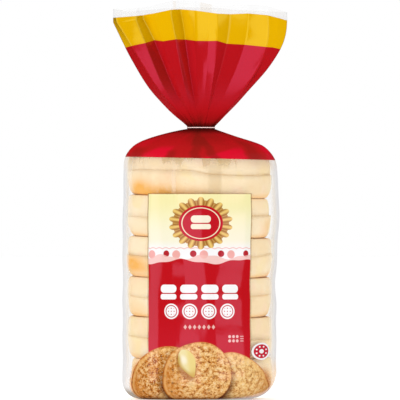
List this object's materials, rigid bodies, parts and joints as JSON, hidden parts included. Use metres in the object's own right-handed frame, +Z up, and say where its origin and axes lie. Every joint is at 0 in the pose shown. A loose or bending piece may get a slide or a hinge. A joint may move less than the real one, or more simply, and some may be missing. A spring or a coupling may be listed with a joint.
{
  "type": "bagged pack of split english muffins",
  "caption": "Upright clear bag of stacked split muffins, printed front, neck gathered and tied under a pleated fan of loose film.",
  "frame": {"origin": "middle of the flat base, on the surface the pack stands on", "axes": "+Z up through the tied neck, +X to the right of the printed front, which faces -Y"},
  "size_m": [0.1172, 0.1032, 0.2634],
  "materials": {
    "printed_film": "gloss",
    "clear_film": "gloss",
    "muffin_bread": "matte",
    "white_tie": "satin"
  },
  "bodies": {
    "root": {"bag": "printed_film", "neck_tie": "white_tie"}
  },
  "joints": []
}
